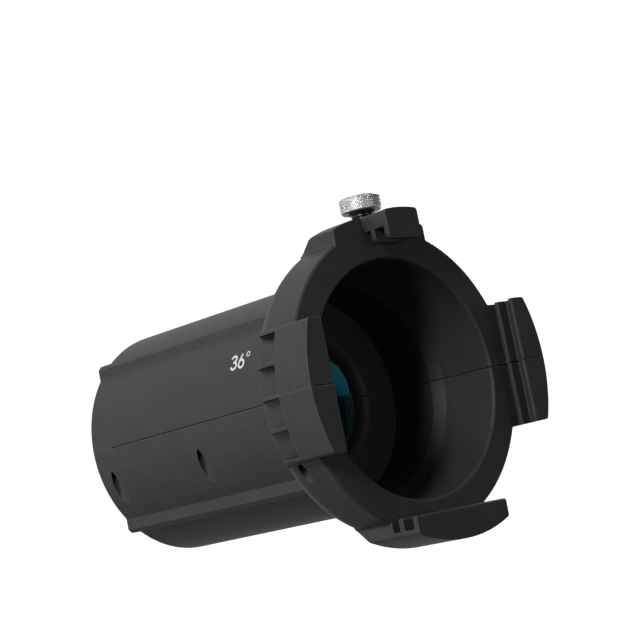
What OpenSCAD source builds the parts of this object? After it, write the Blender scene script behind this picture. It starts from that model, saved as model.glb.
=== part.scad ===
// Interchangeable 36 degree lens tube of an ellipsoidal spotlight.
// The optical axis runs along Y: light enters at the rear (+Y) and leaves through the ring (-Y).
// The origin is on the optical axis, in the plane of the ring's front face. +Z is the keeper's side.

/* [Barrel] */
// Outer diameter of the barrel
barrel_d = 132; // [131:0.2:133]
// Distance from the ring's face to the barrel's rear end
barrel_rear = 202.5; // [198:0.5:230]
// Wall of the barrel
barrel_wall = 6; // [5.4:0.2:6.4]
// Half distance between the flat outer sides of the rails, across X
rail_half_x = 50.8; // [50:0.2:52]
// Half distance between the flat tops of the rails, across Z
rail_half_z = 50.4; // [50:0.2:52]
// Radius over the rounded corners of the rails
rail_r = 70; // [68.5:0.5:71]

/* [Ring] */
// Outer diameter of the ring
ring_d = 166.4; // [165:0.2:168]
// Radius at the mouth
mouth_r = 66.2; // [65.5:0.1:67.5]
// Radius at the end of the bright throat
throat_r = 62.8; // [62:0.1:64]
// Length of the throat
throat_len = 34.2; // [30:0.2:38]
// Y at which the flare meets the barrel
flare_end = 46.6; // [46:0.2:50]
// Growth of radius over length along the flare
flare_slope = 0.873; // [0.86:0.001:0.89]
// Radius of the rounded corner between ring and flare
ring_round = 14; // [8:1:16]

/* [Lugs and accessory slots] */
// Radius over the lugs
lug_r = 90.4; // [89:0.1:91]
// Half width of a lug
lug_half_w = 35.1; // [32:0.1:36]
// Thickness of the front plate of a lug
plate_t = 3; // [2.6:0.1:3.2]
// Width of the front slot
front_slot_w = 7.5; // [7:0.1:8]
// Thickness of the divider between the slots
divider_t = 3; // [2.6:0.1:3.2]
// Width of the rear slot
rear_slot_w = 5.5; // [5:0.1:6]
// Distance from the axis to the slot floors
slot_floor = 80.6; // [80:0.1:81.5]
// Distance from the axis to the inner edges of plate and divider
plate_inner = 73.5; // [72:0.5:75]
// Half width of the boss under the keeper
boss_half_w = 34.8; // [33:0.2:37]

/* [Lenses] */
// Y of the flat baffle
baffle_y = 73.5; // [70:0.5:76]
// Radius at which the bezel starts on the baffle
bezel_r = 40.1; // [39.5:0.1:41]
// Clear radius through the bezel
aperture_r = 33.1; // [31:0.1:34]
// Radius of both lenses
lens_r = 38.5; // [38:0.1:38.8]
// Length of the spacer ring between the lenses
spacer_len = 28; // [26:1:30]

/* [Keeper and thumb screw] */
// Half width of the keeper
keeper_half_w = 12.4; // [11:0.2:13]
// Height to which the keeper's plates hang down
keeper_low = 73.3; // [72:0.1:75]
// Y of the thumb screw
screw_y = 10; // [9.5:0.1:10.5]
// Diameter of the knurled head
head_d = 22.8; // [20:0.2:23]
// Height of the knurled head's top above the axis
head_top = 103; // [102:0.5:106]
// Height of the knurled head
head_h = 8.7; // [8:0.1:10]

/* [Fasteners] */
// Distance of the barrel screws from the middle plane
barrel_screw_x = 60.8; // [60:0.1:61.2]
// Y of the front pair of barrel screws
barrel_screw_front = 108.8; // [105:0.2:112]
// Y of the rear pair of barrel screws
barrel_screw_rear = 189.6; // [186:0.2:192]
// Distance of the ring screws from the middle plane
ring_screw_x = 72.2; // [71.6:0.1:73]
// Y of the ring screws
ring_screw_y = 17.3; // [16:0.1:18.5]

/* [Hidden] */
$fn = 96;
eps = 0.01;
far = 300;
barrel_r = barrel_d / 2;
ring_r = ring_d / 2;
bore_r = barrel_r - barrel_wall;
edge = 1;
rear_edge = 0.6;

// Points of an arc about [x, y], from one angle to another
round_steps = 8;
function arc_points(x, y, r, from, to) = [
    for (i = [0 : round_steps])
        let (a = from + (to - from) * i / round_steps)
        [x + r * cos(a), y + r * sin(a)]
];

// The flare's surface, as a Y for a radius
function flare_y(r) = flare_end - (r - barrel_r) / flare_slope;

// The rounded corner between a cylinder of radius r and the flare
flare_turn = atan(flare_slope);
function corner_arc(r, round_r) = arc_points(
    r - round_r, flare_y(r) - round_r * tan(flare_turn / 2), round_r, 0, flare_turn
);

// Y at which the throat's inner taper reaches the barrel's bore
throat_end = throat_len + 8;

// Slots, from the ring's face forwards
divider_back = -rear_slot_w;
divider_front = divider_back - divider_t;
plate_back = divider_front - front_slot_w;
plate_front = plate_back - plate_t;

// Rounded corners of a lug: arc to flare, arc to side; and the fillet from its side to the ring
lug_round = 4;
side_round = 2;
root_fillet_r = 2.5;
bite = 0.05;

// Lug pockets behind the arc
pocket_y = 6;
rib_t = 2;
pocket_w = (lug_half_w - 2.5 * rib_t) / 2;

// Seam between the half shells
seam_w = 0.6;
seam_depth = 1.2;
seam_end = 184;
peg_r = 1.2;
peg_h = 3;
peg_x = bore_r + barrel_wall / 2;
peg_y = [62, 150];

// Lens cell
baffle_t = 4;
cell_bore = 41;
cell_wall = 4;
cell_r = cell_bore + cell_wall;
seat_y = baffle_y + 6.7;
socket_depth = 2;
socket_wall = 1.6;
bulkhead_y = 118;
bulkhead_t = 4;
flange_t = 2;
flange_w = 3;
lens_edge = 4;
lip = 1.5;
lip_t = 1.1;
lens_gap = 0.7;
front_lens_y = seat_y + lip_t + lens_gap;
gasket_len = lens_edge + 2 * (lip_t + lens_gap);
spacer_y = seat_y + gasket_len;
rear_seat_y = spacer_y + spacer_len;
rear_lens_y = rear_seat_y + lip_t + lens_gap;
ring_clip_y = rear_seat_y + gasket_len;
ring_clip_t = 1.4;
cell_end = ring_clip_y + ring_clip_t + 3;
spacer_wall = 2.7;
lens_fn = 480;

// Half-shell fasteners: heads sit in deep counterbores that open downwards
screw_seat_z = -9;
washer_t = 0.7;
column_r = 6.2;
column_h = 16;
insert_h = 10;
barrel_bore_r = 3.75;
barrel_head_r = 3.3;
barrel_shank_r = 1.75;
barrel_insert_r = 2.9;
ring_bore_r = 3;
ring_head_r = 2.7;
ring_shank_r = 1.5;
ring_insert_r = 2.4;
fit = 0.05;

// Keeper: a tongue in an open channel in the boss
keeper_play = 0.4;
keeper_gap = 1.2;
channel_z = 83.4;
tongue_z = channel_z + 0.1;
tongue_end = 17;
slot_ceiling = 80.8;
keeper_r = lug_r - 0.2;
keeper_corner = 3;
washer_seat_z = 88.9;

// Thumb screw: smooth shank in place of the thread
shank_r = 3;
screw_tip = 70;
screw_washer_t = 1.2;
screw_washer_r = 6;
shoulder_z = washer_seat_z + screw_washer_t + fit;
shoulder_r = [5.2, 6.2, 7.4];
shoulder_step = [shoulder_z + 1.45, shoulder_z + 3.05];
head_bottom = head_top - head_h;
head_r = head_d / 2;
clip_z = 76.3;
clip_t = 1;
clip_r = 5.8;
groove_r = 2.4;
insert_top = 75.6;
boss_insert_h = 6;
boss_insert_r = 4.2;
clip_room_r = 7.4;

// ---------------------------------------------------------------- helpers

// Turns a profile of [radius, y] points about the optical axis
module about_y() {
    rotate([-90, 0, 0]) rotate_extrude() children();
}

// Extrudes a drawing in X and Z from y0 to y1
module slab(y0, y1) {
    translate([0, y1, 0]) rotate([90, 0, 0]) linear_extrude(y1 - y0) children();
}

// Extrudes a drawing in Y and Z from -half to +half along X
module along_x(half) {
    rotate([90, 0, 90]) linear_extrude(2 * half, center = true) children();
}

// Copies to the +X and the -X side
module both_sides() {
    children();
    mirror([1, 0, 0]) children();
}

// An upright cylinder from z0 to z1
module post(r, z0, z1) {
    translate([0, 0, z0]) cylinder(r = r, h = z1 - z0);
}

// Places its children at the four barrel screws
module at_barrel_screws() {
    for (y = [barrel_screw_front, barrel_screw_rear]) {
        both_sides() translate([barrel_screw_x, y, 0]) children();
    }
}

// Places its children at the two ring screws
module at_ring_screws() {
    both_sides() translate([ring_screw_x, ring_screw_y, 0]) children();
}

// ---------------------------------------------------------------- shell form

// Outside of ring, flare and barrel
module outer_profile() {
    polygon(concat(
        [[0, 0], [ring_r - edge, 0], [ring_r, edge]],
        corner_arc(ring_r, ring_round),
        [
            [barrel_r, flare_end],
            [barrel_r, barrel_rear - rear_edge],
            [barrel_r - rear_edge, barrel_rear],
            [0, barrel_rear]
        ]
    ));
}

// Outside of lugs and boss, which run down the same flare
module flare_envelope() {
    polygon(concat(
        [[0, plate_front - edge], [lug_r, plate_front - edge]],
        corner_arc(lug_r, lug_round),
        [[barrel_r, flare_end], [0, flare_end]]
    ));
}

// Hollow in front of the baffle
module throat_profile() {
    polygon([
        [0, -far],
        [mouth_r + edge, -far],
        [mouth_r + edge, 0],
        [mouth_r, edge],
        [throat_r, throat_len],
        [bore_r, throat_end],
        [bore_r, baffle_y],
        [0, baffle_y]
    ]);
}

// Hollow behind the baffle: socket for the lens cell, chamber, bulkhead, open rear
module rear_profile() {
    socket_r = cell_r + fit;
    polygon([
        [0, seat_y],
        [socket_r, seat_y],
        [socket_r, seat_y + socket_depth],
        [socket_r + socket_wall, seat_y + socket_depth],
        [socket_r + socket_wall, baffle_y + baffle_t],
        [bore_r, baffle_y + baffle_t],
        [bore_r, bulkhead_y],
        [socket_r, bulkhead_y],
        [socket_r, bulkhead_y + bulkhead_t],
        [bore_r, bulkhead_y + bulkhead_t],
        [bore_r, barrel_rear - edge],
        [bore_r + edge, barrel_rear],
        [bore_r + edge, far],
        [0, far]
    ]);
}

// Hollow through the bezel
module aperture_profile() {
    difference() {
        translate([0, baffle_y - eps]) square([bezel_r, seat_y - baffle_y + 2 * eps]);
        bezel_section();
    }
}

// Quarter-round bezel, from the baffle into the aperture
module bezel_section() {
    round_r = bezel_r - aperture_r;
    intersection() {
        translate([bezel_r, baffle_y + round_r]) circle(r = round_r);
        square([bezel_r, seat_y + edge]);
    }
}

// Cross-section of the four rails
module rail_outline() {
    intersection() {
        square([2 * rail_half_x, 2 * rail_half_z], center = true);
        circle(r = rail_r);
    }
}

// Front view of an upright block: straight sides, round corners where they meet top_r
module block_outline(half, top_r, low) {
    corner_x = half - side_round;
    corner_z = sqrt((top_r - side_round) * (top_r - side_round) - corner_x * corner_x);
    turn = atan2(corner_z, corner_x);
    right = concat(
        [[half, low]],
        arc_points(corner_x, corner_z, side_round, 0, turn),
        [[far * cos(turn), far * sin(turn)]]
    );
    polygon(concat(right, [for (i = [len(right) - 1 : -1 : 0]) [-right[i].x, right[i].y]]));
}

// Front view of the fillets between the sides of a block and the ring
module root_fillets(half) {
    x = half + root_fillet_r - bite;
    reach = ring_r + root_fillet_r - bite;
    z = sqrt(reach * reach - x * x);
    both_sides() polygon(concat(
        [[half - edge, z]],
        arc_points(x, z, root_fillet_r, 180, 180 + atan2(z, x)),
        [[half - edge, z - 1.3 * root_fillet_r]]
    ));
}

// Side view of a lug: body behind the ring's face, bridge, and two round-nosed plates
module lug_section() {
    translate([0, plate_inner]) square([flare_end, far]);
    translate([plate_front - edge, slot_floor]) square([flare_end, far]);
    for (plate = [[plate_front, plate_t], [divider_front, divider_t]]) {
        nose = plate[1] / 2;
        translate([plate[0], plate_inner + nose]) square([plate[1], far]);
        translate([plate[0] + nose, plate_inner + nose]) circle(r = nose);
    }
}

// One lug, standing up along +Z
module lug(pocketed) {
    difference() {
        intersection() {
            union() {
                slab(plate_front, flare_end) block_outline(lug_half_w, lug_r, plate_inner);
                slab(edge, flare_end) root_fillets(lug_half_w);
            }
            about_y() flare_envelope();
            along_x(lug_half_w + 2 * root_fillet_r) lug_section();
        }
        if (pocketed) {
            for (side = [-1, 1], step = [0, 1]) {
                slab(pocket_y, flare_end) pocket_outline(side * (rib_t + pocket_w) * (step + 0.5));
            }
        }
    }
}

// Pocket between two ribs of a lug, floored on the ring
module pocket_outline(middle) {
    difference() {
        translate([middle - pocket_w / 2, ring_r / 2]) square([pocket_w, ring_r]);
        circle(r = ring_r);
    }
}

// Boss under the keeper
module boss() {
    intersection() {
        union() {
            slab(0, flare_end) block_outline(boss_half_w, lug_r, plate_inner);
            slab(edge, flare_end) root_fillets(boss_half_w);
        }
        about_y() flare_envelope();
    }
}

// Room in the boss for tongue, screw clip and threaded insert
module keeper_room() {
    channel_half = keeper_half_w + keeper_play;
    slab(-edge, tongue_end + 0.4) translate([-channel_half, channel_z]) square([2 * channel_half, 20]);
    translate([0, screw_y, 0]) {
        post(clip_room_r, insert_top, channel_z + eps);
        post(boss_insert_r, insert_top - boss_insert_h, insert_top + eps);
        post(shank_r + 0.4, screw_tip - 1.5, insert_top);
    }
}

// Screw columns inside the barrel wall
module column_set() {
    intersection() {
        at_barrel_screws() post(column_r, -column_h, column_h);
        slab(0, barrel_rear - edge) circle(r = bore_r + edge);
    }
}

// Where the half shells meet: everything deeper than the seam groove
module seam_land() {
    linear_extrude(2 * seam_w, center = true) both_sides() {
        // Ring, flare and barrel wall, then baffle with bezel, then bulkhead
        polygon(concat(
            [[mouth_r + 2 * seam_depth, seam_depth], [ring_r - seam_depth, seam_depth]],
            [for (p = corner_arc(ring_r, ring_round)) p - [seam_depth, seam_depth]],
            [
                [barrel_r - seam_depth, flare_end - seam_depth],
                [barrel_r - seam_depth, barrel_rear + edge],
                [bore_r + seam_depth, barrel_rear + edge],
                [bore_r + seam_depth, throat_end],
                [throat_r + seam_depth, throat_len]
            ]
        ));
        translate([bezel_r, baffle_y + seam_depth])
            square([bore_r - bezel_r + 2 * seam_depth, seat_y - baffle_y]);
        translate([cell_bore, bulkhead_y - eps])
            square([bore_r - cell_bore + 2 * seam_depth, bulkhead_t + 2 * eps]);
        // Divider, front plate up to its plain outer rim, plain outer side of the lug
        translate([plate_inner + seam_depth, divider_front + seam_depth])
            square([slot_floor - plate_inner, divider_t - 2 * seam_depth]);
        translate([plate_inner + seam_depth, plate_front + seam_depth])
            square([lug_r - plate_inner, plate_t - 2 * seam_depth]);
        translate([slot_floor + seam_depth, plate_front + seam_depth])
            square([lug_r - slot_floor, flare_y(lug_r) - plate_front]);
        translate([lug_r - 2 * seam_depth, plate_front - edge])
            square([lug_r, plate_t]);
    }
    intersection() {
        at_barrel_screws() post(column_r, -seam_w, seam_w);
        slab(0, barrel_rear) circle(r = barrel_r - seam_depth);
    }
}

// Thin groove that shows the seam, up to the plain rear collar
module seam_groove() {
    difference() {
        translate([-far / 2, -far / 2, -seam_w / 2]) cube([far, far / 2 + seam_end, seam_w]);
        seam_land();
    }
}

// The whole moulded form before it is parted
module tube_form() {
    difference() {
        union() {
            about_y() outer_profile();
            slab(flare_y(rail_r), barrel_rear) rail_outline();
            for (turn = [90, 180, 270]) {
                rotate([0, turn, 0]) lug(turn != 180);
            }
            boss();
        }
        about_y() throat_profile();
        about_y() rear_profile();
        about_y() aperture_profile();
        keeper_room();
    }
    column_set();
}

// ---------------------------------------------------------------- half shells

module upper_shell() {
    color([0.2, 0.2, 0.205]) difference() {
        intersection() {
            tube_form();
            translate([-far / 2, -far / 2, 0]) cube([far, far * 2, far]);
        }
        seam_groove();
        at_barrel_screws() {
            post(barrel_insert_r, -eps, insert_h + 0.4);
            post(barrel_shank_r + 0.2, 0, insert_h + 2.5);
        }
        at_ring_screws() {
            post(ring_insert_r, -eps, insert_h + 0.4);
            post(ring_shank_r + 0.2, 0, insert_h + 2.5);
        }
        for (y = peg_y) {
            both_sides() translate([peg_x, y, 0]) post(peg_r + 0.1, -eps, peg_h + 0.3);
        }
    }
}

module lower_shell() {
    color([0.2, 0.2, 0.205]) {
        difference() {
            intersection() {
                tube_form();
                translate([-far / 2, -far / 2, -far]) cube([far, far * 2, far]);
            }
            seam_groove();
            at_barrel_screws() {
                post(barrel_bore_r, -far / 4, screw_seat_z);
                post(barrel_shank_r + 0.2, screw_seat_z - eps, eps);
            }
            at_ring_screws() {
                post(ring_bore_r, -far / 4, screw_seat_z);
                post(ring_shank_r + 0.2, screw_seat_z - eps, eps);
            }
        }
        for (y = peg_y) {
            both_sides() translate([peg_x, y, 0]) post(peg_r, -1, peg_h);
        }
    }
}

// ---------------------------------------------------------------- shell fasteners

// One pan-head screw with a cross recess, head downwards
module shell_screw(head_radius, shank) {
    head_z = screw_seat_z - washer_t;
    difference() {
        union() {
            post(shank, head_z - eps, insert_h + 1.5);
            post(head_radius, head_z - 2.2, head_z);
        }
        translate([0, 0, head_z - 2.2]) cube([head_radius, 0.8, 2.4], center = true);
        translate([0, 0, head_z - 2.2]) cube([0.8, head_radius, 2.4], center = true);
    }
}

// One flat ring lying in X and Y
module flat_ring(inner, outer, z0, thickness) {
    difference() {
        post(outer, z0, z0 + thickness);
        post(inner, z0 - eps, z0 + thickness + eps);
    }
}

module barrel_screws() {
    color([0.7, 0.7, 0.68]) at_barrel_screws() shell_screw(barrel_head_r, barrel_shank_r);
}

module barrel_screw_washers() {
    color([0.75, 0.75, 0.73]) at_barrel_screws()
        flat_ring(barrel_shank_r + 0.2, barrel_head_r, screw_seat_z - washer_t, washer_t);
}

module barrel_screw_inserts() {
    color([0.75, 0.6, 0.3]) at_barrel_screws()
        flat_ring(barrel_shank_r + fit, barrel_insert_r, 0.4, insert_h);
}

module ring_screws() {
    color([0.7, 0.7, 0.68]) at_ring_screws() shell_screw(ring_head_r, ring_shank_r);
}

module ring_screw_washers() {
    color([0.75, 0.75, 0.73]) at_ring_screws()
        flat_ring(ring_shank_r + 0.2, ring_head_r, screw_seat_z - washer_t, washer_t);
}

module ring_screw_inserts() {
    color([0.75, 0.6, 0.3]) at_ring_screws()
        flat_ring(ring_shank_r + fit, ring_insert_r, 0.4, insert_h);
}

// ---------------------------------------------------------------- optics

// Height of a spherical cap of radius curve over the lens's own radius
function sag(curve) = curve - sqrt(curve * curve - lens_r * lens_r);

// Biconvex lens whose cylindrical edge starts at rim_y
module lens(rim_y, front_curve, back_curve) {
    front_top = rim_y - sag(front_curve);
    back_top = rim_y + lens_edge + sag(back_curve);
    about_y() intersection() {
        translate([0, front_top]) square([lens_r, back_top - front_top]);
        translate([0, front_top + front_curve]) circle(r = front_curve, $fn = lens_fn);
        translate([0, back_top - back_curve]) circle(r = back_curve, $fn = lens_fn);
    }
}

// Soft ring of U section that grips a lens by its edge
module lens_gasket(y0) {
    about_y() {
        translate([lens_r, y0]) square([cell_bore - lens_r, gasket_len]);
        translate([lens_r - lip, y0]) square([lip + eps, lip_t]);
        translate([lens_r - lip, y0 + gasket_len - lip_t]) square([lip + eps, lip_t]);
    }
}

module front_lens() {
    color([0.1, 0.45, 0.5, 0.5]) lens(front_lens_y, 160, 110);
}

module front_lens_gasket() {
    color([0.08, 0.08, 0.08]) lens_gasket(seat_y);
}

// Tube that carries both lenses, closed by the snap ring in its groove. Its flange lies
// against the bulkhead.
module lens_cell() {
    color([0.12, 0.12, 0.12]) about_y() {
        difference() {
            translate([cell_bore, seat_y]) square([cell_wall, cell_end - seat_y]);
            translate([cell_bore - eps, ring_clip_y]) square([edge + eps, ring_clip_t]);
        }
        translate([cell_r - eps, bulkhead_y - flange_t]) square([flange_w + eps, flange_t]);
    }
}

// Blackened ring between the lenses, with stray-light grooves inside
module lens_spacer() {
    grooves = 6;
    pitch = spacer_len / (grooves + 1);
    color([0.1, 0.1, 0.1]) about_y() difference() {
        translate([cell_bore - spacer_wall, spacer_y]) square([spacer_wall, spacer_len]);
        for (i = [1 : grooves]) {
            translate([cell_bore - spacer_wall - eps, spacer_y + i * pitch - 0.8]) square([1, 1.6]);
        }
    }
}

module rear_lens() {
    color([0.1, 0.45, 0.5, 0.5]) lens(rear_lens_y, 140, 95);
}

module rear_lens_gasket() {
    color([0.08, 0.08, 0.08]) lens_gasket(rear_seat_y);
}

// Spring ring that shuts the lens cell, open at the bottom
module lens_snap_ring() {
    color([0.6, 0.6, 0.6]) difference() {
        about_y() translate([cell_bore - 2, ring_clip_y]) square([2 + edge, ring_clip_t]);
        translate([-5, ring_clip_y - edge, -far / 4]) cube([10, 5, far / 4]);
    }
}

// ---------------------------------------------------------------- keeper

// Brass insert in the boss that takes the thumb screw
module keeper_insert() {
    color([0.75, 0.6, 0.3]) translate([0, screw_y, 0])
        flat_ring(shank_r + fit, boss_insert_r, insert_top - boss_insert_h, boss_insert_h);
}

// A hanging plate of the keeper, with round lower corners
module keeper_plate_outline() {
    half = keeper_half_w - keeper_corner;
    translate([-keeper_half_w, keeper_low + keeper_corner])
        square([2 * keeper_half_w, 20]);
    translate([-half, keeper_low]) square([2 * half, 20]);
    for (side = [-1, 1]) {
        translate([side * half, keeper_low + keeper_corner]) circle(r = keeper_corner);
    }
}

// Side view of the keeper's bridge over the slots, with a round lower rear corner
module keeper_bridge() {
    corner = 1.5;
    polygon(concat(
        [[plate_front, far], [plate_front, slot_ceiling]],
        arc_points(-keeper_gap - corner, slot_ceiling + corner, corner, -90, 0),
        [[-keeper_gap, far]]
    ));
}

module keeper() {
    color([0.18, 0.18, 0.185]) difference() {
        intersection() {
            union() {
                along_x(keeper_half_w) keeper_bridge();
                slab(-keeper_gap - edge, tongue_end)
                    translate([-keeper_half_w, tongue_z]) square([2 * keeper_half_w, 20]);
                slab(plate_front, plate_back) keeper_plate_outline();
                slab(divider_front, divider_back) keeper_plate_outline();
            }
            slab(plate_front - edge, tongue_end + edge) circle(r = keeper_r);
            slab(plate_front - edge, tongue_end + edge) block_outline(keeper_half_w, keeper_r, 0);
        }
        translate([0, screw_y, 0]) {
            post(shank_r + fit, tongue_z - edge, head_top);
            post(screw_washer_r + 0.4, washer_seat_z, head_top);
        }
    }
}

module thumb_screw_washer() {
    color([0.75, 0.75, 0.73]) translate([0, screw_y, 0])
        flat_ring(shank_r + 0.3, screw_washer_r, washer_seat_z, screw_washer_t);
}

// Open spring clip in the groove of the thumb screw, which keeps the screw in the keeper
module screw_clip() {
    color([0.5, 0.5, 0.5]) translate([0, screw_y, 0]) difference() {
        flat_ring(groove_r + fit, clip_r, clip_z, clip_t);
        translate([-1.6, -clip_r - edge, clip_z - edge]) cube([3.2, clip_r + edge, clip_t + 2 * edge]);
    }
}

// Turned screw: knurled head on a stepped shoulder, smooth shank, clip groove
module thumb_screw() {
    color([0.85, 0.85, 0.86]) translate([0, screw_y, 0]) rotate_extrude() polygon([
        [0, screw_tip],
        [shank_r - 0.6, screw_tip],
        [shank_r, screw_tip + 0.8],
        [shank_r, clip_z - 0.1],
        [groove_r, clip_z - 0.1],
        [groove_r, clip_z + clip_t + 0.1],
        [shank_r, clip_z + clip_t + 0.1],
        [shank_r, shoulder_z],
        [shoulder_r[0], shoulder_z],
        [shoulder_r[0], shoulder_step[0]],
        [shoulder_r[1], shoulder_step[0]],
        [shoulder_r[1], shoulder_step[1]],
        [shoulder_r[2], shoulder_step[1]],
        [shoulder_r[2], head_bottom],
        [head_r - 0.9, head_bottom],
        [head_r, head_bottom + 0.9],
        [head_r, head_top - 0.9],
        [head_r - 0.9, head_top],
        [0, head_top]
    ]);
}

// ---------------------------------------------------------------- output

upper_shell();
lower_shell();
barrel_screws();
barrel_screw_washers();
barrel_screw_inserts();
ring_screws();
ring_screw_washers();
ring_screw_inserts();
lens_cell();
front_lens();
front_lens_gasket();
lens_spacer();
rear_lens();
rear_lens_gasket();
lens_snap_ring();
keeper_insert();
keeper();
thumb_screw_washer();
screw_clip();
thumb_screw();
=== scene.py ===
"""Looks of the lens tube: camera, materials, lenses, thumb screw, print, and the studio round them."""

import math

import bmesh
import bpy
from mathutils import Matrix, Vector


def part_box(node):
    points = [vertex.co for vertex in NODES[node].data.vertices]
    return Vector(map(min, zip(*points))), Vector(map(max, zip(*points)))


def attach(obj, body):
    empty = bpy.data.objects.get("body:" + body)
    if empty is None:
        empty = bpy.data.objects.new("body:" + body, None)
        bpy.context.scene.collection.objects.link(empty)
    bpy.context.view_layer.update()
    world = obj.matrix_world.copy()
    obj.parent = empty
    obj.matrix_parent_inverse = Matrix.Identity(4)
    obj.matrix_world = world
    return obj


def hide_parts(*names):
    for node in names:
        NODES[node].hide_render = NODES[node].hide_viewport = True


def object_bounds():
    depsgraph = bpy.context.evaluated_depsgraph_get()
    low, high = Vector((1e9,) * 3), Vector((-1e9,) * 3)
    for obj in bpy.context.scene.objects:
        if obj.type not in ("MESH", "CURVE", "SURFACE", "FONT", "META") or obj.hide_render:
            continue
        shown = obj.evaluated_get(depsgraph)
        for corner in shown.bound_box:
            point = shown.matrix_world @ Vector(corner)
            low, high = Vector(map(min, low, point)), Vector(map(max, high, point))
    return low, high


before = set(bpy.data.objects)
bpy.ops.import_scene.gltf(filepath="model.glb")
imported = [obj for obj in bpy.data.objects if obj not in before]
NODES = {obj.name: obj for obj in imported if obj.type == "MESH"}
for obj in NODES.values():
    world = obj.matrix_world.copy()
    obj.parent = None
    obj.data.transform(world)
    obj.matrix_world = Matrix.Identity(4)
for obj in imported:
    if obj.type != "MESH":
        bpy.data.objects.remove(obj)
cad_low, cad_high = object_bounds()
MM = 0.001
TINY = 1e-6


def looking(at, towards):
    """A transform at one point, with -Z towards another and Y upwards."""
    aim = (towards - at).to_track_quat("-Z", "Y").to_matrix().to_4x4()
    return Matrix.Translation(at) @ aim


# ---------------------------------------------------------------- camera

CAMERA_AT = Vector((-0.7730, -0.7464, -0.0751))
CAMERA_TARGET = Vector((-0.0068, 0.0522, 0.0436))
CAMERA_ROLL = math.radians(11.39)
CAMERA_LENS = 112.1


def make_camera():
    data = bpy.data.cameras.new("camera")
    data.lens = CAMERA_LENS
    data.sensor_width = 36
    data.clip_start = 0.01
    data.clip_end = 50
    camera = bpy.data.objects.new("camera", data)
    bpy.context.scene.collection.objects.link(camera)
    camera.matrix_world = looking(CAMERA_AT, CAMERA_TARGET) @ Matrix.Rotation(-CAMERA_ROLL, 4, "Z")
    bpy.context.scene.camera = camera


make_camera()


# ---------------------------------------------------------------- node helpers

def node(tree, kind, inputs=None, **settings):
    """Adds a shader node; an input is a plain value or the socket that feeds it."""
    made = tree.nodes.new("ShaderNode" + kind)
    for key, value in settings.items():
        setattr(made, key, value)
    for key, value in (inputs or {}).items():
        if isinstance(value, bpy.types.NodeSocket):
            tree.links.new(value, made.inputs[key])
        else:
            made.inputs[key].default_value = value
    return made


def feed(tree, shader, **inputs):
    """Links sockets to the shader, or sets plain values; underscores stand for spaces."""
    for key, value in inputs.items():
        socket = shader.inputs[key.replace("_", " ")]
        if isinstance(value, bpy.types.NodeSocket):
            tree.links.new(value, socket)
        else:
            socket.default_value = value


def new_material(name):
    material = bpy.data.materials.new(name)
    material.use_nodes = True
    tree = material.node_tree
    return material, tree, tree.nodes["Principled BSDF"]


def place(tree, stretch=(1, 1, 1)):
    """Coordinates in metres on the piece, stretched along its axes."""
    coordinates = node(tree, "TexCoord").outputs["Object"]
    return node(tree, "Mapping", {"Vector": coordinates, "Scale": stretch}).outputs["Vector"]


def noise(tree, where, scale, detail=3.0, roughness=0.55):
    made = node(tree, "TexNoise", {
        "Vector": where, "Scale": scale, "Detail": detail, "Roughness": roughness})
    return made.outputs["Fac"]


def spread(tree, value, low, high, start=0.3, end=0.7):
    """Maps a value from start..end to low..high."""
    made = node(tree, "MapRange", {
        "Value": value, "From Min": start, "From Max": end, "To Min": low, "To Max": high})
    return made.outputs["Result"]


def blend_colour(tree, factor, first, second):
    """Colour from first to second; the Mix node's colour sockets are 6, 7 and output 2."""
    made = node(tree, "Mix", {"Factor": factor, 6: first, 7: second}, data_type="RGBA")
    return made.outputs[2]


def tinted(colour, factor):
    """A colour made lighter by a factor, up to white."""
    return tuple(min(1.0, value * factor) for value in colour[:3]) + (1,)


def times(tree, first, second):
    return node(tree, "Math", {0: first, 1: second}, operation="MULTIPLY").outputs[0]


def bump(tree, height, strength, distance, normal=None):
    inputs = {"Height": height, "Strength": strength, "Distance": distance}
    if normal is not None:
        inputs["Normal"] = normal
    return node(tree, "Bump", inputs).outputs["Normal"]


def edge_rounding(tree, radius):
    """The rounded normal of nearby edges, and a mask that is 1 on them."""
    rounded = node(tree, "Bevel", {"Radius": radius}, samples=6).outputs["Normal"]
    flat = node(tree, "NewGeometry").outputs["Normal"]
    same = node(tree, "VectorMath", {0: rounded, 1: flat}, operation="DOT_PRODUCT").outputs["Value"]
    return rounded, spread(tree, same, 1.0, 0.0, start=0.86, end=0.995)


# ---------------------------------------------------------------- materials

SCUFFED = 1.45
# Lift of the edge colour: wear, and a painted highlight on the edges.
WEAR_AND_HIGHLIGHT_LIFT = 5.0
POLISHED = 1.15


def moulded_plastic(name, dark, light, edge_radius, grain=1900.0):
    """Fine-grained moulding: faintly mottled colour, matt grain, edges lighter from wear and a painted
    highlight, a few pale specks.
    """
    material, tree, shader = new_material(name)
    where = place(tree)
    mottle = noise(tree, where, 60.0, detail=6.0, roughness=0.7)
    streak = noise(tree, place(tree, (1, 0.12, 1)), 160.0)
    fine = noise(tree, where, grain, detail=2.0)
    rounded, edges = edge_rounding(tree, edge_radius)

    scuffed = tinted(light, SCUFFED)
    wear_and_highlight = tinted(light, WEAR_AND_HIGHLIGHT_LIFT)
    base = blend_colour(tree, spread(tree, mottle, 0, 1), dark, light)
    base = blend_colour(tree, spread(tree, fine, 0, 0.55, 0.45, 0.75), base, scuffed)
    base = blend_colour(tree, spread(tree, streak, 0, 0.3, 0.55, 0.8), base, scuffed)
    # Lighter edges: partly wear, partly a painted highlight along them.
    edge_wear_and_highlight = times(tree, edges, spread(tree, noise(tree, where, 420.0), 0.35, 1.0))
    base = blend_colour(tree, times(tree, edge_wear_and_highlight, 0.7), base, wear_and_highlight)
    specks = spread(tree, noise(tree, where, 900.0, detail=1.0), 0, 0.6, 0.76, 0.8)
    base = blend_colour(tree, specks, base, wear_and_highlight)
    feed(
        tree, shader,
        Base_Color=base,
        Roughness=spread(tree, fine, 0.42, 0.56),
        Normal=bump(tree, fine, 0.3, 0.0001, rounded),
    )
    shader.inputs["Specular IOR Level"].default_value = 0.45
    return material


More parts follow.
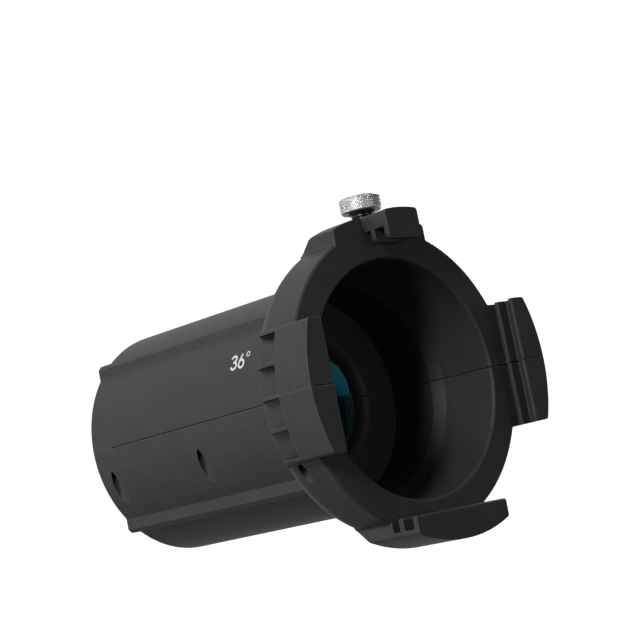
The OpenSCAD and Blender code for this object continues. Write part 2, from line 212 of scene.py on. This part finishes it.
def plated_metal(name, colour, shade, roughness, edge_radius=0.0002, brush=(1, 1, 1)):
    """Plated or turned metal: cloudy tint, brushed roughness, fine scratches, bright edges."""
    material, tree, shader = new_material(name)
    where = place(tree)
    cloud = noise(tree, where, 320.0, detail=4.0)
    scratch = noise(tree, place(tree, brush), 2600.0, detail=3.0, roughness=0.7)
    rounded, edges = edge_rounding(tree, edge_radius)
    base = blend_colour(tree, spread(tree, cloud, 0, 1), colour, shade)
    base = blend_colour(tree, times(tree, edges, 0.5), base, tinted(colour, POLISHED))
    feed(
        tree, shader,
        Base_Color=base,
        Roughness=spread(tree, scratch, roughness * 0.7, roughness * 1.4),
        Normal=bump(tree, scratch, 0.12, 0.00003, rounded),
    )
    shader.inputs["Metallic"].default_value = 1.0
    return material


def black_anodised():
    """Turned and blackened aluminium, with the tool's fine rings along the axis."""
    material, tree, shader = new_material("black_anodised")
    where = place(tree)
    rings = noise(tree, place(tree, (0.02, 1, 0.02)), 3200.0, detail=1.0)
    cloud = noise(tree, where, 90.0, detail=4.0)
    base = blend_colour(tree, spread(tree, cloud, 0, 1),
                        (0.012, 0.012, 0.013, 1), (0.026, 0.025, 0.027, 1))
    feed(
        tree, shader,
        Base_Color=base,
        Roughness=spread(tree, rings, 0.38, 0.55),
        Normal=bump(tree, rings, 0.2, 0.00004),
    )
    shader.inputs["Specular IOR Level"].default_value = 0.4
    return material


def silicone():
    """Black rubber with a faint bloom."""
    material, tree, shader = new_material("silicone")
    where = place(tree)
    bloom = noise(tree, where, 150.0, detail=4.0)
    base = blend_colour(tree, spread(tree, bloom, 0, 1),
                        (0.016, 0.016, 0.017, 1), (0.034, 0.034, 0.035, 1))
    feed(
        tree, shader,
        Base_Color=base,
        Roughness=spread(tree, bloom, 0.6, 0.8),
        Normal=bump(tree, noise(tree, where, 2200.0), 0.2, 0.00008),
    )
    return material


def coated_glass():
    """Glass with a blue-green coating and a trace of dust."""
    material, tree, shader = new_material("coated_glass")
    where = place(tree)
    dust = noise(tree, where, 1400.0, detail=2.0)
    tint = spread(tree, noise(tree, where, 45.0), 0, 1)
    feed(
        tree, shader,
        Base_Color=blend_colour(tree, tint, (0.55, 0.66, 0.68, 1), (0.48, 0.6, 0.62, 1)),
        Roughness=spread(tree, dust, 0.0, 0.004, 0.6, 0.85),
    )
    shader.inputs["Transmission Weight"].default_value = 1.0
    shader.inputs["IOR"].default_value = 1.52
    shader.inputs["Specular Tint"].default_value = (0.0, 0.75, 1.0, 1)
    return material


def ground_glass():
    """The lens's ground rim."""
    material, tree, shader = new_material("ground_glass")
    where = place(tree)
    grit = noise(tree, where, 2600.0, detail=3.0)
    feed(
        tree, shader,
        Base_Color=blend_colour(tree, grit, (0.30, 0.36, 0.36, 1), (0.46, 0.52, 0.52, 1)),
        Roughness=spread(tree, grit, 0.5, 0.75),
        Normal=bump(tree, grit, 0.4, 0.00005),
    )
    return material


def printed_paint():
    """White pad print: thin, a little uneven."""
    material, tree, shader = new_material("white_print")
    where = place(tree)
    thin = noise(tree, where, 1600.0, detail=4.0)
    feed(
        tree, shader,
        Base_Color=blend_colour(tree, spread(tree, thin, 0, 1),
                                (0.88, 0.88, 0.87, 1), (0.95, 0.95, 0.94, 1)),
        Roughness=spread(tree, thin, 0.45, 0.62),
        Normal=bump(tree, thin, 0.15, 0.00003),
    )
    return material


MOULDED_EDGE = 0.7 * MM

HOUSING = moulded_plastic(
    "housing_plastic", (0.036, 0.036, 0.037, 1), (0.052, 0.052, 0.053, 1), MOULDED_EDGE)
KEEPER = moulded_plastic(
    "keeper_plastic", (0.033, 0.033, 0.034, 1), (0.049, 0.049, 0.050, 1), MOULDED_EDGE, grain=2300.0)
NICKEL = plated_metal("bright_nickel", (0.93, 0.925, 0.91, 1), (0.87, 0.865, 0.855, 1), 0.36)
# A dark metal for the thumb screw's underside: painted shade in place of its shadow.
UNDERSIDE_SHADE_METAL = plated_metal("painted_underside_shade", (0.10, 0.10, 0.105, 1), (0.06, 0.06, 0.062, 1), 0.3)
ZINC = plated_metal("zinc_plate", (0.64, 0.65, 0.65, 1), (0.52, 0.52, 0.50, 1), 0.32)
BRASS = plated_metal("brass", (0.72, 0.55, 0.27, 1), (0.60, 0.43, 0.20, 1), 0.3, brush=(1, 1, 12))
SPRING = plated_metal("spring_steel", (0.36, 0.36, 0.37, 1), (0.26, 0.26, 0.27, 1), 0.36)
ANODISED = black_anodised()
SILICONE = silicone()
GLASS = coated_glass()
GROUND = ground_glass()
PAINT = printed_paint()


def dress(material, *names):
    """Gives CAD nodes a material in place of the plain one they came with."""
    for name in names:
        data = NODES[name].data
        data.materials.clear()
        data.materials.append(material)


dress(HOUSING, "upper_shell", "lower_shell")
dress(KEEPER, "keeper")
dress(ZINC, "barrel_screws", "barrel_screw_washers", "ring_screws", "ring_screw_washers",
      "thumb_screw_washer")
dress(BRASS, "barrel_screw_inserts", "ring_screw_inserts", "keeper_insert")
dress(SPRING, "screw_clip", "lens_snap_ring")
dress(ANODISED, "lens_cell", "lens_spacer")
dress(SILICONE, "front_lens_gasket", "rear_lens_gasket")


# ---------------------------------------------------------------- mesh helpers

SMOOTH_BELOW = math.radians(28)


def make_piece(name, mesh, body, slot, *materials):
    """A finished piece from a bmesh: smooth on its curves, sharp at its corners, riding on body."""
    bmesh.ops.recalc_face_normals(mesh, faces=mesh.faces)
    for face in mesh.faces:
        face.smooth = True
    data = bpy.data.meshes.new(name)
    mesh.to_mesh(data)
    mesh.free()
    data.set_sharp_from_angle(angle=SMOOTH_BELOW)
    for material in materials:
        data.materials.append(material)
    piece = bpy.data.objects.new(name, data)
    bpy.context.scene.collection.objects.link(piece)
    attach(piece, body)
    return piece


def grid_faces(mesh, rows, closed=True):
    """Joins rows of vertices into quads, each row closed round if asked."""
    for lower, upper in zip(rows, rows[1:]):
        count = len(lower)
        for i in range(count if closed else count - 1):
            j = (i + 1) % count
            mesh.faces.new((lower[i], lower[j], upper[j], upper[i]))


def lathe(profile, columns, point, relief=None):
    """A closed turned form. profile holds (radius, height); point places (radius, angle, height)."""
    mesh = bmesh.new()
    rows = []
    for radius, height in profile:
        row = []
        for i in range(columns):
            angle = 2 * math.pi * i / columns
            cut = relief(angle, height, radius) if relief else 0.0
            row.append(mesh.verts.new(point(radius - cut, angle, height)))
        rows.append(row)
    grid_faces(mesh, rows)
    for row, height in ((rows[0], profile[0][1]), (rows[-1], profile[-1][1])):
        middle = mesh.verts.new(point(0.0, 0.0, height))
        for i in range(columns):
            mesh.faces.new((row[i], row[(i + 1) % columns], middle))
    return mesh


# ---------------------------------------------------------------- lenses

LENS_EDGE = 4 * MM
LENS_BEVEL = 0.3 * MM
CAP_RINGS = 28
LENS_COLUMNS = 160


def lens_profile(radius, rim, front_curve, back_curve):
    """(radius, y) from the front pole round the ground rim to the back pole."""
    def sag(curve, at):
        return curve - math.sqrt(curve * curve - at * at)

    clear = radius - LENS_BEVEL
    steps = [clear * (i + 1) / CAP_RINGS for i in range(CAP_RINGS)]
    front = [(r, rim - sag(front_curve, radius) + sag(front_curve, r)) for r in steps]
    back_pole = rim + LENS_EDGE + sag(back_curve, radius)
    back = [(r, back_pole - sag(back_curve, r)) for r in reversed(steps)]
    return front + [(radius, rim + LENS_BEVEL), (radius, rim + LENS_EDGE - LENS_BEVEL)] + back


def about_axis(radius, angle, height):
    return Vector((radius * math.cos(angle), height, radius * math.sin(angle)))


def make_lens(node_name, front_curve, back_curve):
    """A biconvex lens in the CAD lens's place, with the radii of its two faces."""
    low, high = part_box(node_name)
    radius = high[0]
    rim = low[1] + front_curve - math.sqrt(front_curve ** 2 - radius ** 2)
    mesh = lathe(lens_profile(radius, rim, front_curve, back_curve), LENS_COLUMNS, about_axis)
    for face in mesh.faces:
        middle = face.calc_center_median()
        face.material_index = int(math.hypot(middle.x, middle.z) > radius - LENS_BEVEL)
    piece = make_piece(node_name + "_glass", mesh, "tube", "coated_glass", GLASS, GROUND)
    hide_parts(node_name)


make_lens("front_lens", 160 * MM, 110 * MM)
make_lens("rear_lens", 140 * MM, 95 * MM)


# ---------------------------------------------------------------- thumb screw

SCREW_LOW, SCREW_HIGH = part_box("thumb_screw")
SCREW_Y = (SCREW_LOW[1] + SCREW_HIGH[1]) / 2
SCREW_TIP = SCREW_LOW[2]
HEAD_TOP = SCREW_HIGH[2]
HEAD_R = SCREW_HIGH[0]
HEAD_H = 8.7 * MM
HEAD_BOTTOM = HEAD_TOP - HEAD_H
HEAD_FILLET = 0.2 * MM
RIM = 0.9 * MM
RIM_FLAT = 0.1 * MM
RIM_BREAK_IN = 0.55
RIM_BREAK_DOWN = 0.3
DISH = ((8.6 * MM, 0.0), (8.3 * MM, 0.35 * MM), (1.2 * MM, 0.45 * MM))
KNURLS = 46
KNURL_COLUMNS = 10
KNURL_ROWS = 56
KNURL_PITCH = 1.6 * MM
KNURL_DEPTH = 0.5 * MM
KNURL_FADE = 0.35 * MM
KNURL_CREST = 1.5
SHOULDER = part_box("thumb_screw_washer")[1][2] + 0.05 * MM
FOOT = ((4.4 * MM, SHOULDER), (4.9 * MM, SHOULDER))
STEPS = ((5.2 * MM, 0.0), (6.2 * MM, 1.45 * MM), (7.4 * MM, 3.05 * MM))
STEP_FILLET = 0.25 * MM
STEP_CHAMFER = 0.3 * MM
# Height band of the head's underside that takes the painted shade.
PAINTED_SHADE_ABOVE = SHOULDER + 0.35 * MM
PAINTED_SHADE_BELOW = HEAD_BOTTOM + 0.1 * MM
SHANK_R = 3 * MM
SHANK_COLUMNS = 48
SHANK_STEP = 0.11 * MM
SHANK_INTO_HEAD = 0.6 * MM
TIP = ((SHANK_R - 0.6 * MM, SCREW_TIP), (SHANK_R - 0.15 * MM, SCREW_TIP + 0.6 * MM))
CLIP_LOW, CLIP_HIGH = (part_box("screw_clip")[i][2] for i in (0, 1))
GROOVE_R = 2.4 * MM
GROOVE_LOW = CLIP_LOW - 0.1 * MM
GROOVE_HIGH = CLIP_HIGH + 0.1 * MM
THREAD_START = SCREW_TIP + 0.8 * MM
THREAD_LEAD = 1.5 * MM
THREAD_GAP = 0.5 * MM
THREAD_PITCH = 1.0 * MM
THREAD_DEPTH = 0.55 * MM
THREAD_CREST = 1.25
THREAD_TOP = 86 * MM


def on_screw(radius, angle, height):
    return Vector((radius * math.cos(angle), SCREW_Y + radius * math.sin(angle), height))


def ridge(value):
    """A wave between 0 in a groove and 1 on a ridge."""
    return 1.0 - 2.0 * abs(value % 1.0 - 0.5)


def knurl(angle, height, radius):
    """Depth of the diamond knurl, which fades towards the chamfered rims."""
    low, high = HEAD_BOTTOM + RIM, HEAD_TOP - RIM
    if radius < HEAD_R - TINY or not low < height < high:
        return 0.0
    across = KNURLS * angle / (2 * math.pi)
    along = (height - low) / KNURL_PITCH
    top = min(ridge(across + along), ridge(across - along))
    edge = min(1.0, min(height - low, high - height) / KNURL_FADE)
    return KNURL_DEPTH * edge * (1.0 - min(1.0, top * KNURL_CREST))


def head_profile():
    """(radius, z) from the stepped shoulder's foot, round the head, to the dish in its top."""
    profile = list(FOOT)
    previous = None
    for radius, rise in STEPS:
        height = SHOULDER + rise
        if previous:
            profile += [
                (previous, height - STEP_FILLET),
                (previous + STEP_FILLET, height),
                (radius - STEP_CHAMFER, height),
            ]
        profile.append((radius, height + STEP_CHAMFER))
        previous = radius
    profile += [
        (previous, HEAD_BOTTOM - HEAD_FILLET),
        (previous + HEAD_FILLET, HEAD_BOTTOM),
        (HEAD_R - RIM - RIM_FLAT, HEAD_BOTTOM),
        (HEAD_R - RIM * RIM_BREAK_IN, HEAD_BOTTOM + RIM * RIM_BREAK_DOWN),
    ]
    low, high = HEAD_BOTTOM + RIM, HEAD_TOP - RIM
    profile += [(HEAD_R, low + (high - low) * i / KNURL_ROWS) for i in range(KNURL_ROWS + 1)]
    profile += [
        (HEAD_R - RIM * RIM_BREAK_IN, HEAD_TOP - RIM * RIM_BREAK_DOWN),
        (HEAD_R - RIM - RIM_FLAT, HEAD_TOP),
    ]
    return profile + [(radius, HEAD_TOP - depth) for radius, depth in DISH]


def make_head():
    """Knurled head and stepped shoulder in bright nickel, with a dark metal on its underside as painted
    shade.
    """
    mesh = lathe(head_profile(), KNURLS * KNURL_COLUMNS, on_screw, knurl)
    for face in mesh.faces:
        # Underside faces take the dark metal: painted shade.
        face.material_index = int(PAINTED_SHADE_ABOVE < face.calc_center_median().z < PAINTED_SHADE_BELOW)
    piece = make_piece("thumb_screw_head", mesh, "thumb_screw", "nickel", NICKEL, UNDERSIDE_SHADE_METAL)
    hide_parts("thumb_screw")


def thread(angle, height, radius):
    """Depth of the screw thread below the shank's surface."""
    in_clip_groove = CLIP_LOW - THREAD_GAP < height < CLIP_HIGH + THREAD_GAP
    if radius < SHANK_R - TINY or height > THREAD_TOP or in_clip_groove:
        return 0.0
    lead = min(1.0, (height - SCREW_TIP) / THREAD_LEAD)
    tooth = ridge(height / THREAD_PITCH - angle / (2 * math.pi))
    return THREAD_DEPTH * (1.0 - min(1.0, tooth * THREAD_CREST)) * lead


def shank_rows(start, end):
    """Close rings of the shank, fine enough to hold the thread."""
    rows = []
    height = start
    while height < end:
        rows.append((SHANK_R, height))
        height += SHANK_STEP
    return rows


def make_shank():
    """Threaded shank with the clip's groove round it."""
    profile = list(TIP) + shank_rows(THREAD_START, GROOVE_LOW)
    profile += [
        (SHANK_R, GROOVE_LOW),
        (GROOVE_R, GROOVE_LOW),
        (GROOVE_R, GROOVE_HIGH),
        (SHANK_R, GROOVE_HIGH),
    ]
    profile += shank_rows(GROOVE_HIGH + SHANK_STEP, THREAD_TOP)
    profile += [(SHANK_R, THREAD_TOP + SHANK_STEP), (SHANK_R, SHOULDER + SHANK_INTO_HEAD)]
    mesh = lathe(profile, SHANK_COLUMNS, on_screw, thread)
    make_piece("thumb_screw_shank", mesh, "thumb_screw", "nickel", NICKEL)


make_head()
make_shank()


# ---------------------------------------------------------------- beam angle print

BARREL_R = 66 * MM
PRINT_START = 72.8 * MM
PRINT_BASE = math.radians(159.5)
PRINT_LIFT = 0.03 * MM
STROKE = 1.3 * MM
DEGREE_STROKE = 0.6 * MM


def arc(centre, radii, start, end, count=20):
    """Points of an arc in the print's plane, in mm, angles in degrees."""
    points = []
    for i in range(count + 1):
        angle = math.radians(start + (end - start) * i / count)
        x = centre[0] + radii[0] * math.cos(angle)
        y = centre[1] + radii[1] * math.sin(angle)
        points.append((x, y))
    return points


def on_barrel(along, up, lift):
    """A point of the print: along reads towards the ring, up climbs the barrel's side."""
    radius = BARREL_R + lift
    angle = PRINT_BASE - up * MM / BARREL_R
    return Vector((radius * math.cos(angle), PRINT_START - along * MM, radius * math.sin(angle)))


def ribbon(mesh, line, width, closed=False):
    """A thin painted stroke of even width along a line of (along, up) points."""
    count = len(line)
    left, right = [], []
    for i, (x, y) in enumerate(line):
        before = line[i - 1] if (i or closed) else line[i]
        after = line[(i + 1) % count] if (i < count - 1 or closed) else line[i]
        heading = Vector((after[0] - before[0], after[1] - before[1])).normalized()
        side = Vector((-heading.y, heading.x)) * width / 2 / MM
        left.append((x + side.x, y + side.y))
        right.append((x - side.x, y - side.y))
    rows = []
    for rail, lift in ((left, -PRINT_LIFT), (left, PRINT_LIFT), (right, PRINT_LIFT), (right, -PRINT_LIFT)):
        rows.append([mesh.verts.new(on_barrel(x, y, lift)) for x, y in rail])
    grid_faces(mesh, rows + rows[:1], closed)
    if not closed:
        for end in (0, -1):
            mesh.faces.new([row[end] for row in rows])


def make_print():
    """The tube's beam angle, drawn as strokes in mm."""
    figures = {
        "print_figure_3": [
            arc((3.1, 6.55), (2.05, 1.7), 170, -100),
            arc((3.0, 2.6), (2.25, 1.95), 100, -170),
        ],
        "print_figure_6": [
            arc((9.45, 2.75), (2.15, 2.25), 150, -210, 32),
            [(7.6, 3.9), (8.5, 5.8), (10.0, 8.5)],
        ],
    }
    for name, strokes in figures.items():
        mesh = bmesh.new()
        for stroke in strokes:
            ribbon(mesh, stroke, STROKE)
        make_piece(name, mesh, "tube", "housing", PAINT)
    mesh = bmesh.new()
    ribbon(mesh, arc((14.7, 7.4), (1.3, 1.3), 0, 345, 23), DEGREE_STROKE, closed=True)
    make_piece("print_degree", mesh, "tube", "housing", PAINT)


make_print()


# ---------------------------------------------------------------- stage

FLOOR_DROP = 0.26
FLOOR_HALF = 12.0
FLOOR_GLOW = 0.8
WHITE = 1.12
FRONT_FILL = 0.07
SIDE_FILL = 0.62
LOW_FILL = 0.25


def soft_box(name, at, towards, size, power):
    """A soft rectangular light, power in watts."""
    data = bpy.data.lights.new(name, "AREA")
    data.shape = "RECTANGLE"
    data.size, data.size_y = size
    data.energy = power
    light = bpy.data.objects.new(name, data)
    bpy.context.scene.collection.objects.link(light)
    light.matrix_world = looking(Vector(at), Vector(towards))


def make_world():
    """White where the camera sees it; its light is soft from sides and rear, dim in front and below."""
    scene = bpy.context.scene
    scene.view_settings.view_transform = "Standard"
    world = bpy.data.worlds.new("studio")
    world.use_nodes = True
    tree = world.node_tree
    direction = node(tree, "TexCoord").outputs["Generated"]
    heading = node(tree, "SeparateXYZ", {"Vector": direction})
    around = spread(tree, heading.outputs["Y"], FRONT_FILL, SIDE_FILL, start=-0.45, end=0.05)
    height = spread(tree, heading.outputs["Z"], LOW_FILL, 1.0, start=-0.75, end=-0.1)
    seen = node(tree, "LightPath").outputs["Is Camera Ray"]
    strength = node(tree, "Mix", {"Factor": seen, "A": times(tree, around, height), "B": WHITE})
    background = tree.nodes["Background"]
    background.inputs["Color"].default_value = (1, 1, 1, 1)
    tree.links.new(strength.outputs["Result"], background.inputs["Strength"])
    scene.world = world


def make_floor():
    """A pale glowing floor, far enough below to leave no shadow edge."""
    material, tree, shader = new_material("pale_floor")
    cloud = noise(tree, place(tree), 3.0)
    feed(
        tree, shader,
        Base_Color=blend_colour(tree, cloud, (0.86, 0.86, 0.86, 1), (0.9, 0.9, 0.9, 1)),
        Roughness=spread(tree, cloud, 0.75, 0.85),
    )
    shader.inputs["Emission Color"].default_value = (1, 1, 1, 1)
    shader.inputs["Emission Strength"].default_value = FLOOR_GLOW
    mesh = bmesh.new()
    bmesh.ops.create_grid(mesh, x_segments=8, y_segments=8, size=FLOOR_HALF)
    data = bpy.data.meshes.new("floor")
    mesh.to_mesh(data)
    mesh.free()
    data.materials.append(material)
    floor = bpy.data.objects.new("floor", data)
    floor.location = (0, 0, cad_low[2] - FLOOR_DROP)
    floor.visible_diffuse = False
    floor.visible_glossy = False
    bpy.context.scene.collection.objects.link(floor)


make_world()
make_floor()
soft_box("key", (-1.5, -0.58, 0.72), (0.0, 0.05, 0.0), (0.2, 0.5), 14)
soft_box("front", (0.05, -1.8, 0.05), (0.0, 0.05, 0.0), (0.12, 0.12), 1.3)
soft_box("right", (1.6, 0.5, 0.8), (0.0, 0.08, 0.0), (0.9, 0.9), 14)
